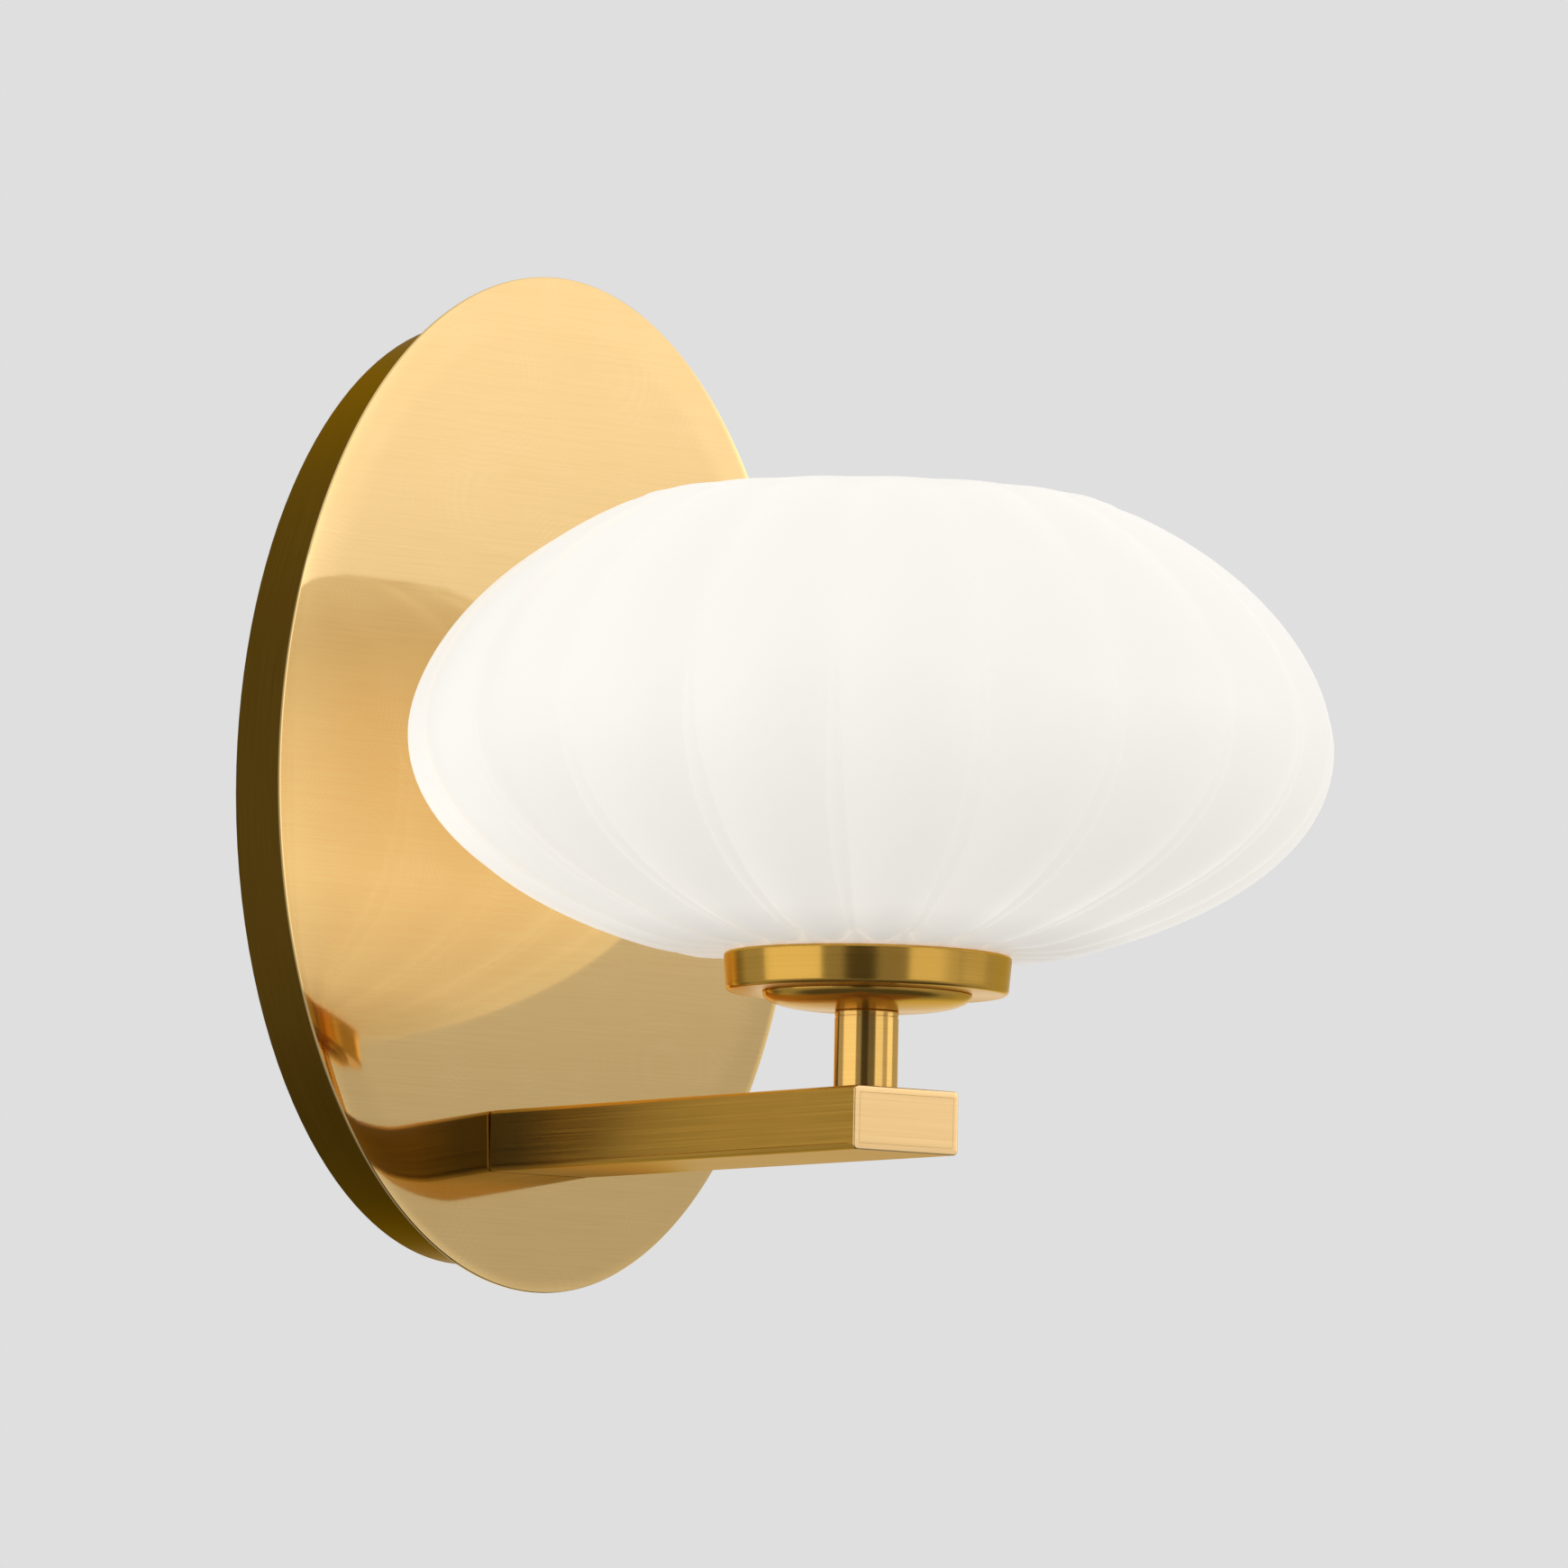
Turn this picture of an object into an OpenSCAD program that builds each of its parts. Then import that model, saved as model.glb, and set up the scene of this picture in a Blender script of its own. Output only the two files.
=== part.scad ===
// Wall lamp with an oval dished backplate, a flat arm and a fluted glass shade.
// Millimetres. Wall plane at y = 0, the lamp reaches toward -Y, +Z is up.
// The origin is the middle of the backplate, on the wall.

/* [Backplate] */
// Width of the oval face disc
plate_w = 147; // [120:1:180]
// Height of the oval face disc
plate_h = 235; // [210:1:260]
// Thickness of the face disc
plate_t = 1.2; // [1:0.1:2]
// Distance from the wall to the middle of the face
face_out = 28.7; // [24:0.1:36]
// Radius of the shallow dish pressed into the face
dish_r = 2770; // [1800:10:6000]
// How far the disc overhangs the pan all round
pan_inset = 7.3; // [4:0.1:12]
// Sheet thickness of the pan
pan_t = 1; // [0.8:0.1:1.6]

/* [Arm and stem] */
// Width of the flat arm
arm_w = 28.6; // [26:0.2:34]
// Height of the flat arm
arm_h = 14; // [13.6:0.2:18]
// Wall of the arm tube
arm_t = 1.5; // [1.2:0.1:2]
// Middle of the arm below the middle of the backplate
arm_drop = 83.4; // [78:0.2:86]
// Distance from the wall to the front end of the arm
arm_reach = 167.5; // [150:0.5:190]
// Stem axis behind the front end of the arm
stem_setback = 15; // [12:0.5:20]
// Outer diameter of the stem
stem_d = 14; // [13:0.5:18]
// Free height of the stem
stem_h = 17.4; // [16:0.2:30]

/* [Glass holder] */
// Diameter of the step under the cup
step_d = 46; // [40:0.2:50]
// Height of the step under the cup
step_h = 3.9; // [3:0.1:5]
// Outer diameter of the cup at its rim
cup_d = 63.2; // [62:0.2:66]
// Height of the cup
cup_h = 8.4; // [8:0.1:9]
// Wall of the cup
cup_t = 1.4; // [1:0.1:1.6]

/* [Glass shade] */
// Largest diameter over the crests of the lobes
glass_d = 203.6; // [180:0.2:220]
// Height of the widest line above the rim of the cup
glass_low = 47.2; // [44:0.2:52]
// Height of the lip above the widest line
glass_top = 51.4; // [46:0.2:56]
// Radius of the open mouth
mouth_r = 52; // [46:0.5:56]
// Thickness of the glass
glass_t = 3.2; // [2.6:0.1:4]
// Number of lobes round the glass
lobes = 20; // [12:1:24]
// Depth of the valleys between lobes
valley = 2; // [0.8:0.1:2.6]
// Turn of the glass in its holder
glass_turn = 12; // [0:1:18]

/* [Mounting bar] */
// Spread between the middles of the two box slots
slot_spread = 79.4; // [76:0.2:84]
// Length of each box slot, end to end
slot_len = 25; // [20:1:28]
// Width of each box slot
slot_w = 5; // [4.6:0.1:5.4]

/* [Hidden] */
$fn = 96;

slop = 0.1;                                    // small gap between stacked pieces
plate_a = plate_w / 2;
plate_b = plate_h / 2;
pan_a = plate_a - pan_inset;
pan_b = plate_b - pan_inset;
pan_front = face_out - plate_t - slop;         // outside of the pan's front wall, on the axis
pan_inside = pan_front - pan_t;                // inside of that wall, on the axis

arm_z = -arm_drop;
arm_top = arm_z + arm_h / 2;
arm_low = arm_z - arm_h / 2;
bore_w = arm_w - 2 * arm_t;
bore_h = arm_h - 2 * arm_t;
arm_back = face_at(arm_drop + arm_h / 2) + slop;
arm_edge_r = 0.9;
screw_x = 8.5;                                 // arm screws either side of the wire hole
block_len = 14;
plug_len = 3;
wire_hole_r = 3.8;

axis_y = -(arm_reach - stem_setback);          // the vertical axis of stem, cup and glass
step_z = arm_top + stem_h;
cup_z = step_z + step_h;
cup_top = cup_z + cup_h;
cup_floor = 1.5;
thread_r = 5;                                  // nipple thread, M10
thread_hole_r = 5.15;
nipple_bore_r = 3.7;

seat_z = cup_top + 0.4;                        // underside of the glass over the cup's rim
wide_z = cup_top + glass_low;
lip_z = wide_z + glass_top;
glass_r = glass_d / 2;
gasket_t = 1.5;
base_z = cup_z + cup_floor + gasket_t + slop;
glass_hole_r = 14.5;
neck_r = cup_d / 2 - cup_t - 1.2;

shell_r = 13;
shell_t = 1.4;
shell_z = cup_z + cup_floor;
shell_h = 23.5;
core_z = shell_z + 3.5;
core_h = 20.5;
core_top = core_z + core_h;
pin_gap = 4.5;                                 // half the distance between the bulb's pins
pin_len = 9;
bulb_r = 8;
bulb_h = 44;

bar_w = 22;
bar_t = 2;
bar_half = pan_b - pan_t - 2.2;                // outside of the bent tabs
tab_depth = 19;
set_y = -13;                                   // set screws, from the wall
set_r = 2;
bar_hole_r = 11;
bar_boss_r = 18;
ground_z = -18.5;
ground_lift = 1.5;                             // room for the lead's eye under the head
stud_x = 38;
stud_zs = [62, -34];
stud_r = 1.5;

// Distance from the wall of the dished face at a given distance from its middle.
function face_at(d) = face_out + dish_r - sqrt(dish_r * dish_r - d * d);

brass = [0.80, 0.62, 0.33];
brass_dark = [0.55, 0.40, 0.16];
steel = [0.72, 0.73, 0.75];
opal = [0.96, 0.95, 0.92];

// ---- shared shapes

module oval(a, b) {
    scale([a, b]) circle(r = 1, $fn = 180);
}

// Prism from the wall side toward the room: 2D x and y become X and Z.
module outward(from, to) {
    translate([0, -from, 0]) rotate([90, 0, 0]) linear_extrude(to - from) children();
}

module dish_ball(extra) {
    translate([0, -face_out - dish_r, 0]) sphere(r = dish_r + extra, $fn = 360);
}

module rounded_bar(w, h, r) {
    square([w - 2 * r, h], center = true);
    square([w, h - 2 * r], center = true);
    for (sx = [-1, 1], sy = [-1, 1])
        translate([sx * (w / 2 - r), sy * (h / 2 - r)]) circle(r = r, $fn = 32);
}

module slot2d(len, w) {
    square([w, len - w], center = true);
    for (s = [-1, 1]) translate([0, s * (len - w) / 2]) circle(d = w, $fn = 48);
}

module on_axis(z) {
    translate([0, axis_y, z]) children();
}

// Pan-head machine screw: head above z = 0, shank below.
module pan_screw(shank_r, len, head_r, head_h) {
    difference() {
        union() {
            translate([0, 0, -len]) cylinder(r = shank_r, h = len + head_h / 2);
            cylinder(r1 = head_r, r2 = head_r * 0.82, h = head_h);
        }
        for (a = [0, 90]) rotate([0, 0, a])
            translate([-head_r * 0.5, -0.4, head_h * 0.45])
                cube([head_r, 0.8, head_h]);
    }
}

module ring(outer, inner, h) {
    difference() {
        cylinder(r = outer, h = h);
        translate([0, 0, -1]) cylinder(r = inner, h = h + 2);
    }
}

module hex_nut(flats, bore, h) {
    difference() {
        cylinder(d = flats / cos(30), h = h, $fn = 6);
        translate([0, 0, -1]) cylinder(r = bore, h = h + 2);
    }
}

// Points of a Catmull-Rom curve through a hand-chosen route.
function curve_at(p, i, t) =
    let (a = p[max(i - 1, 0)], b = p[i], c = p[i + 1], d = p[min(i + 2, len(p) - 1)])
    0.5 * (2 * b + (c - a) * t + (2 * a - 5 * b + 4 * c - d) * t * t
        + (3 * b - a - 3 * c + d) * t * t * t);
function smooth(p, steps) = concat(
    [for (i = [0 : len(p) - 2], k = [0 : steps - 1]) curve_at(p, i, k / steps)],
    [p[len(p) - 1]]);
function unit(v) = v / norm(v);
function heading(p, i) = unit(p[min(i + 1, len(p) - 1)] - p[max(i - 1, 0)]);

module wire(route, r, steps = 3, sides = 8) {
    path = smooth(route, steps);
    rings = len(path);
    points = [for (i = [0 : rings - 1])
        let (t = heading(path, i), u = unit(cross(t, [1, 0, 0])), v = cross(t, u))
        for (k = [0 : sides - 1])
            path[i] + r * (cos(360 * k / sides) * u + sin(360 * k / sides) * v)];
    walls = [for (i = [0 : rings - 2], k = [0 : sides - 1])
        let (a = i * sides + k, b = i * sides + (k + 1) % sides)
        each [[a, b, b + sides], [a, b + sides, a + sides]]];
    ends = [
        [for (k = [sides - 1 : -1 : 0]) k],
        [for (k = [0 : sides - 1]) (rings - 1) * sides + k]];
    polyhedron(points, concat(walls, ends));
}

// ---- wall side

module mounting_bar() {
    color(steel) difference() {
        union() {
            outward(0, bar_t) square([bar_w, 2 * bar_half], center = true);
            outward(0, bar_t) circle(r = bar_boss_r);
            for (s = [-1, 1]) translate([0, -tab_depth / 2, s * (bar_half - bar_t / 2)])
                cube([bar_w, tab_depth, bar_t], center = true);
        }
        outward(-1, bar_t + 1) circle(r = bar_hole_r);
        for (s = [-1, 1]) translate([0, 0, s * slot_spread / 2])
            outward(-1, bar_t + 1) slot2d(slot_len, slot_w);
        translate([0, 0, ground_z]) outward(-1, bar_t + 1) circle(r = 2.3);
        for (s = [-1, 1]) translate([0, set_y, s * bar_half])
            cylinder(r = set_r + 0.05, h = 3 * bar_t, center = true);
    }
}

module ground_screw() {
    color([0.20, 0.55, 0.25]) translate([0, -bar_t - ground_lift, ground_z]) rotate([90, 0, 0])
        pan_screw(2.25, ground_lift + 4, 4.6, 2.6);
}

module canopy_screws() {
    color(brass) for (s = [-1, 1]) rotate([0, s < 0 ? 180 : 0, 0])
        translate([0, set_y, pan_b + 0.3]) pan_screw(set_r, 8, 3.6, 2.2);
}

module canopy_pan() {
    color(brass_dark) difference() {
        outward(0, pan_front + 5) oval(pan_a, pan_b);
        dish_ball(plate_t + slop);
        difference() {
            outward(-1, pan_front + 5) oval(pan_a - pan_t, pan_b - pan_t);
            dish_ball(plate_t + slop + pan_t);
        }
        for (s = [-1, 1]) translate([0, set_y, s * pan_b])
            cylinder(r = set_r + 0.25, h = 4 * pan_t, center = true);
        for (x = [-screw_x, screw_x]) translate([x, 0, arm_z])
            outward(20, 34) circle(r = 2.2);
        translate([0, 0, arm_z]) outward(20, 34) circle(r = wire_hole_r + 1.5);
        for (x = [-stud_x, stud_x], z = stud_zs) translate([x, 0, z])
            outward(20, 34) circle(r = stud_r + 0.3);
    }
}

module face_disc() {
    color(brass) {
        difference() {
            outward(face_out - 4, face_out + 4) oval(plate_a, plate_b);
            dish_ball(0);
            difference() {
                outward(face_out - 6, face_out + 6) oval(plate_a + 2, plate_b + 2);
                dish_ball(plate_t);
            }
            for (x = [-screw_x, screw_x]) translate([x, 0, arm_z])
                outward(20, 34) circle(r = 2.2);
            translate([0, 0, arm_z]) outward(20, 34) circle(r = wire_hole_r + 0.3);
        }
        for (x = [-stud_x, stud_x], z = stud_zs) translate([x, 0, z])
            outward(pan_inside - 5, face_at(norm([x, z])) - plate_t / 2) circle(r = stud_r);
    }
}

module disc_nuts() {
    color(steel) for (x = [-stud_x, stud_x], z = stud_zs)
        translate([x, -(face_at(norm([x, z])) - plate_t - 2 * slop - pan_t - 0.05), z])
            rotate([-90, 0, 0]) hex_nut(5.5, stud_r + 0.03, 2.4);
}

// ---- arm

plate_back = face_at(arm_drop - 9) - plate_t - slop - pan_t - 0.05;

module backing_plate() {
    color(steel) translate([0, 0, arm_z]) difference() {
        outward(plate_back - 2, plate_back) rounded_bar(44, 18, 3);
        for (x = [-screw_x, screw_x]) translate([x, 0, 0]) outward(20, 34) circle(r = 2.2);
        outward(20, 34) circle(r = wire_hole_r + 1.5);
    }
}

module arm_washers() {
    color(steel) for (x = [-screw_x, screw_x])
        translate([x, -(plate_back - 2), arm_z]) rotate([-90, 0, 0]) ring(3.3, 2.1, 0.8);
}

module arm_screws() {
    color(steel) for (x = [-screw_x, screw_x])
        translate([x, -(plate_back - 2.8), arm_z]) rotate([-90, 0, 0])
            pan_screw(2, 15, 3.2, 2.4);
}

module wire_bushing() {
    color([0.12, 0.12, 0.13]) translate([0, 0, arm_z]) {
        difference() {
            union() {
                outward(plate_back - 3.2, plate_back - 2) circle(r = wire_hole_r + 0.9);
                outward(plate_back - 2.5, face_out) circle(r = wire_hole_r);
            }
            outward(plate_back - 6, face_out + 4) circle(r = wire_hole_r - 1);
        }
    }
}

module arm_tube() {
    color(brass) difference() {
        translate([0, 0, arm_z]) outward(arm_back, arm_reach) rounded_bar(arm_w, arm_h, arm_edge_r);
        translate([0, 0, arm_z]) outward(arm_back - 1, arm_reach + 1)
            square([bore_w, bore_h], center = true);
        on_axis(arm_top - 2 * arm_t) cylinder(r = thread_hole_r, h = 3 * arm_t);
    }
}

module arm_rear_block() {
    color(brass_dark) translate([0, 0, arm_z]) difference() {
        outward(arm_back, arm_back + block_len)
            square([bore_w - slop, bore_h - slop], center = true);
        for (x = [-screw_x, screw_x]) translate([x, 0, 0])
            outward(arm_back - 1, arm_back + block_len + 1) circle(r = 2.03);
        outward(arm_back - 1, arm_back + block_len + 1) circle(r = wire_hole_r);
    }
}

module arm_end_plug() {
    color(brass) translate([0, 0, arm_z])
        outward(arm_reach - plug_len, arm_reach)
            square([bore_w - 0.04, bore_h - 0.04], center = true);
}

// ---- stem and glass holder

module stem_tube() {
    color(brass) on_axis(arm_top) difference() {
        cylinder(d = stem_d, h = stem_h);
        translate([0, 0, -1]) cylinder(r = thread_hole_r, h = stem_h + 2);
    }
}

module nipple() {
    color(steel) on_axis(arm_top - arm_t - 5.8)
        ring(thread_r - 0.05, nipple_bore_r, shell_z + 2.2 - (arm_top - arm_t - 5.8));
}

module nipple_washer() {
    color(steel) on_axis(arm_top - arm_t - 1) ring(8, thread_hole_r, 1);
}

module nipple_nut() {
    color(brass_dark) on_axis(arm_top - arm_t - 4) hex_nut(14, thread_r, 3);
}

module step_disc() {
    // A shallow bowl: round at its edge and nearly flat where the stem meets it.
    bowl = [for (t = [84 : -4 : 0])
        [step_d / 2 * pow(cos(t), 0.55), step_h * (1 - pow(sin(t), 0.94))]];
    color(brass) on_axis(step_z) rotate_extrude($fn = 160)
        polygon(concat([[thread_hole_r, step_h], [thread_hole_r, 0]], bowl));
}

module glass_cup() {
    foot = 1.1;
    top_r = cup_d / 2;
    low_r = top_r - 0.6;
    color(brass) on_axis(cup_z) rotate_extrude($fn = 160) {
        difference() {
            union() {
                polygon([
                    [thread_hole_r, 0], [low_r - foot, 0], [low_r, foot],
                    [top_r, cup_h - 0.5], [top_r - 0.35, cup_h], [top_r - cup_t, cup_h],
                    [low_r - cup_t, cup_floor], [thread_hole_r, cup_floor]]);
                translate([low_r - foot, foot]) circle(r = foot, $fn = 32);
            }
            translate([low_r - foot - cup_t - 4, cup_floor]) square([foot + 4, foot * 2]);
        }
    }
}

module seat_gasket() {
    color([0.90, 0.90, 0.88]) on_axis(cup_z + cup_floor) ring(26, shell_r + 0.6, gasket_t);
}

// ---- lamp holder

module socket_shell() {
    color([0.85, 0.85, 0.83]) on_axis(shell_z) difference() {
        cylinder(r = shell_r, h = shell_h);
        translate([0, 0, 2.4]) cylinder(r = shell_r - shell_t, h = shell_h);
        translate([0, 0, -1]) cylinder(r = thread_r, h = 5);
    }
}

module socket_core() {
    color([0.95, 0.94, 0.90]) on_axis(core_z) difference() {
        cylinder(r = shell_r - shell_t - slop, h = core_h);
        for (s = [-1, 1]) translate([s * pin_gap, 0, 4]) cylinder(r = 1.9, h = core_h, $fn = 32);
        for (s = [-1, 1]) translate([s * pin_gap, 0, -1]) cylinder(r = 1.2, h = 8, $fn = 32);
    }
}

module socket_contacts() {
    color([0.78, 0.60, 0.30]) for (s = [-1, 1]) on_axis(core_z + 4.2)
        translate([s * pin_gap, 0, 0]) ring(1.8, 1.1, 10);
}

// ---- bulb, a frosted two-pin capsule

module bulb_base() {
    color([0.93, 0.93, 0.90]) on_axis(core_top + 0.3) {
        translate([0, 0, 3]) cube([14, 7, 6], center = true);
        for (s = [-1, 1]) translate([s * pin_gap, 0, -pin_len])
            cylinder(r = 0.7, h = pin_len + 1, $fn = 24);
    }
}

module bulb_envelope() {
    color(opal) on_axis(core_top + 6.4) rotate_extrude($fn = 72) {
        square([bulb_r, bulb_h - bulb_r - 6]);
        intersection() {
            translate([0, bulb_h - bulb_r - 6]) circle(r = bulb_r);
            translate([0, 1]) square([bulb_r, bulb_h]);
        }
    }
}

// ---- glass shade

// Outline of the glass, from the hole in its foot, up the outside and down the
// inside. Each entry is radius, height, and the share of the valley depth there.
low_squash = 1.076;
low_lift = 0.942;
top_squash = 0.949;
top_lift = 1.153;
low_out = 52.2;
lip_w = 2.2;                                   // width of the rounded lip
seat_soft = 0.5;                               // how softly the underside levels out
low_end = acos(pow(33 / glass_r, 1 / low_squash));
top_end = acos(pow((mouth_r + lip_w) / glass_r, 1 / top_squash));
top_out = glass_top / pow(sin(top_end), top_lift) - 0.6;

function low_at(t, shrink) = [
    (glass_r - shrink) * pow(cos(t), low_squash),
    wide_z - (low_out - shrink) * pow(sin(t), low_lift)];
function top_at(t, shrink) = [
    (glass_r - shrink) * pow(cos(t), top_squash),
    wide_z + (top_out - shrink) * pow(sin(t), top_lift)];

// The underside levels out softly where it rests on the cup.
function settled(z) = seat_z + seat_soft * ln(1 + exp((z - seat_z) / seat_soft));

function glass_foot() = [
    [glass_hole_r, base_z, 0], [neck_r - 3.4, base_z, 0], [neck_r - 0.9, base_z + 1.4, 0.1],
    [neck_r, base_z + 4.4, 0.2], [neck_r + 1.7, seat_z, 0.75]];
function glass_outside() = concat(
    [for (k = [0 : 7]) let (p = low_at(low_end * (1 - k / 8), 0))
        [p[0], settled(p[1]), 1 - 0.1 * k / 8]],
    [for (k = [0 : 6]) let (p = top_at(top_end * k / 6.2, 0))
        [p[0], p[1], 0.9 - 0.45 * k / 6]]);
function glass_lip() = [
    [mouth_r + lip_w, lip_z - 0.6, 0.3], [mouth_r + 1, lip_z, 0.1],
    [mouth_r, lip_z - 1.1, 0], [mouth_r + 0.9, lip_z - 2.8, 0.2]];
function glass_inside() = concat(
    [for (k = [5 : -1 : 0]) let (p = top_at(top_end * k / 5.5, glass_t))
        [p[0], p[1], 0.4]],
    [for (k = [1 : 5]) let (p = low_at(low_end * k / 5, glass_t))
        [p[0], settled(p[1] - glass_t) + glass_t, 0.4]],
    [[neck_r - 3.6, base_z + glass_t, 0.1], [glass_hole_r, base_z + glass_t, 0]]);
glass_path = concat(glass_foot(), glass_outside(), glass_lip(), glass_inside());

// A lobe is a rounded crest between two sharp valleys.
function crease(a) = 1 - abs(sin(lobes * (a - glass_turn) / 2));

function glass_side(i) =
    let (m = len(glass_path), a = glass_path[max(i - 1, 0)], b = glass_path[min(i + 1, m - 1)],
        d = [b[0] - a[0], b[1] - a[1]])
    [-d[1], d[0]] / max(norm(d), 0.001);

module glass_shade() {
    per_lobe = 8;
    around = lobes * per_lobe;
    m = len(glass_path);
    points = [for (i = [0 : m - 1], k = [0 : around - 1])
        let (a = glass_turn + 360 * k / around, n = glass_side(i),
            cut = valley * glass_path[i][2] * crease(a),
            r = glass_path[i][0] + n[0] * cut, z = glass_path[i][1] + n[1] * cut)
        [r * sin(a), axis_y - r * cos(a), z]];
    faces = [for (i = [0 : m - 1], k = [0 : around - 1])
        let (j = (i + 1) % m, l = (k + 1) % around,
            p = i * around + k, q = i * around + l, s = j * around + l, t = j * around + k)
        each [[p, t, s], [p, s, q]]];
    color(opal) polyhedron(points, faces);
}

module ring_gasket() {
    color([0.90, 0.90, 0.88]) on_axis(base_z + glass_t + slop) ring(20, shell_r + 1, 1);
}

module shade_ring() {
    color([0.85, 0.85, 0.83]) on_axis(base_z + glass_t + slop + 1) difference() {
        union() {
            cylinder(r = 19, h = 2);
            cylinder(r = 15.4, h = 6);
        }
        translate([0, 0, -1]) cylinder(r = shell_r + 0.35, h = 8);
        for (a = [0 : 30 : 330]) rotate([0, 0, a])
            translate([19.4, 0, -1]) cylinder(r = 1, h = 4, $fn = 24);
    }
}

// ---- leads, held inside the stem, the arm and the pan

lead_r = 0.95;
lead_drop = arm_low + arm_t + 2.4;
cavity_y = -(pan_inside - 7);

// Each step of the route is less than twice as long as the one before it, so that
// the curve through its points never doubles back.
function lead_route(s) = [
    [s * 1.25, axis_y, core_z - 0.1], [s * 1.25, axis_y, core_z - 8],
    [s * 1.25, axis_y, core_z - 16], [s * 1.25, axis_y, arm_top],
    [s * 1.25, axis_y + 0.3, arm_top - 4], [s * 1.25, axis_y + 1.4, arm_top - 7],
    [s * 1.25, axis_y + 3.8, lead_drop + 1], [s * 1.25, axis_y + 7.5, lead_drop],
    [s * 1.25, axis_y + 14, lead_drop], [s * 1.25, axis_y + 26, lead_drop],
    [s * 1.25, axis_y + 48, lead_drop + 0.2], [s * 1.25, axis_y + 74, lead_drop + 0.6],
    [s * 1.25, -(arm_back + block_len + 12), arm_z - 1.6],
    [s * 1.25, -(arm_back + block_len), arm_z - 0.3], [s * 1.25, -(arm_back + 6), arm_z],
    [s * 1.25, -arm_back, arm_z], [s * 1.25, cavity_y - 5, arm_z + 0.4],
    [s * 1.3, cavity_y - 1, arm_z + 2.6], [s * 2, cavity_y + 1.8, arm_z + 7],
    [s * 4, cavity_y + 2.8, arm_z + 14], [s * 8, cavity_y + 3, arm_z + 24],
    [s * 13.6, cavity_y + 3, arm_z + 36], [s * 17, cavity_y + 3, -36], [s * 17, cavity_y + 3, -31]];

module black_lead() {
    color([0.10, 0.10, 0.10]) wire(lead_route(-1), lead_r, 2);
}

module white_lead() {
    color([0.92, 0.92, 0.90]) wire(lead_route(1), lead_r, 2);
}

module ground_lead() {
    eye = 3.05;
    low = -bar_t - ground_lift / 2;
    color([0.72, 0.45, 0.20]) wire([
        [15.5, -(plate_back - 2.75), arm_z + 6], [14.5, -20, arm_z + 10],
        [12, -12, arm_z + 22], [8, -7, ground_z - 22], [4.4, low - 0.6, ground_z - 11],
        [eye, low, ground_z - 3], [eye, low, ground_z + 0.6], [2.2, low, ground_z + 2.4],
        [0, low, ground_z + eye + 0.1], [-2.2, low, ground_z + 2.2], [-eye, low, ground_z]],
        0.65, 2);
}

module wire_nuts() {
    color([0.85, 0.45, 0.15]) for (s = [-1, 1]) translate([s * 17, cavity_y + 3, -34.4])
        difference() {
            cylinder(r1 = 5, r2 = 3.2, h = 17, $fn = 64);
            translate([0, 0, -1]) cylinder(r = 2.2, h = 8, $fn = 32);
        }
}

mounting_bar();
ground_screw();
canopy_screws();
canopy_pan();
face_disc();
disc_nuts();
backing_plate();
arm_screws();
arm_washers();
wire_bushing();
arm_tube();
arm_rear_block();
arm_end_plug();
stem_tube();
nipple();
nipple_nut();
nipple_washer();
step_disc();
glass_cup();
seat_gasket();
socket_shell();
socket_core();
socket_contacts();
glass_shade();
ring_gasket();
shade_ring();
bulb_base();
bulb_envelope();
black_lead();
white_lead();
ground_lead();
wire_nuts();
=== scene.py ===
# %% [markdown]
# # A brass wall lamp with a fluted glass shade
#
# The lamp hangs on a wall: a shallow dish of brushed brass, a flat arm, a short stem, and a
# white glass shade, blown into a mould with twenty lobes, that opens upward. The hard parts
# come from the imported CAD frame. This file dresses them: it makes the shade and the dished
# face finer than the CAD can carry them, and gives every piece its finish. Some of these
# finishes carry painted light and painted shade: the glass, the arm near the plate, its end
# and the pan.

# %% Load the frame
import math

import bmesh
import bpy
from mathutils import Matrix, Vector


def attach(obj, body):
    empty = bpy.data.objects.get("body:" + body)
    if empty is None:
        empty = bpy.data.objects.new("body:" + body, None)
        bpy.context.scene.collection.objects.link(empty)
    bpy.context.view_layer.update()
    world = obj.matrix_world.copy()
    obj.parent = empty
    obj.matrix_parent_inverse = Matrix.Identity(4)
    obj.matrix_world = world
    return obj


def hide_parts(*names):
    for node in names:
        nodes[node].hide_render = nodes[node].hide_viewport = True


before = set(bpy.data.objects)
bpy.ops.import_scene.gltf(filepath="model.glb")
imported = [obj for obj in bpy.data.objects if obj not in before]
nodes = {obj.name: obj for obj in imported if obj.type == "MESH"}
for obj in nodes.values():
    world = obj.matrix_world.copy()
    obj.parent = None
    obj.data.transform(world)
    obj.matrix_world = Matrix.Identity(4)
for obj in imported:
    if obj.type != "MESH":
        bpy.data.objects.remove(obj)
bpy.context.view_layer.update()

bpy.context.scene.view_settings.view_transform = "Standard"

# %% [markdown]
# ## The camera
#
# The picture was taken from far away with a long lens, so straight edges hardly converge.
# The camera stands to the left of the lamp and a little below it, and looks slightly up.
# Its place was solved from the straight edges of the arm and the outlines of the oval plate
# and of the shade. A camera looks along its own minus Z, so its matrix is built from three
# directions: right, up and back.

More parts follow.
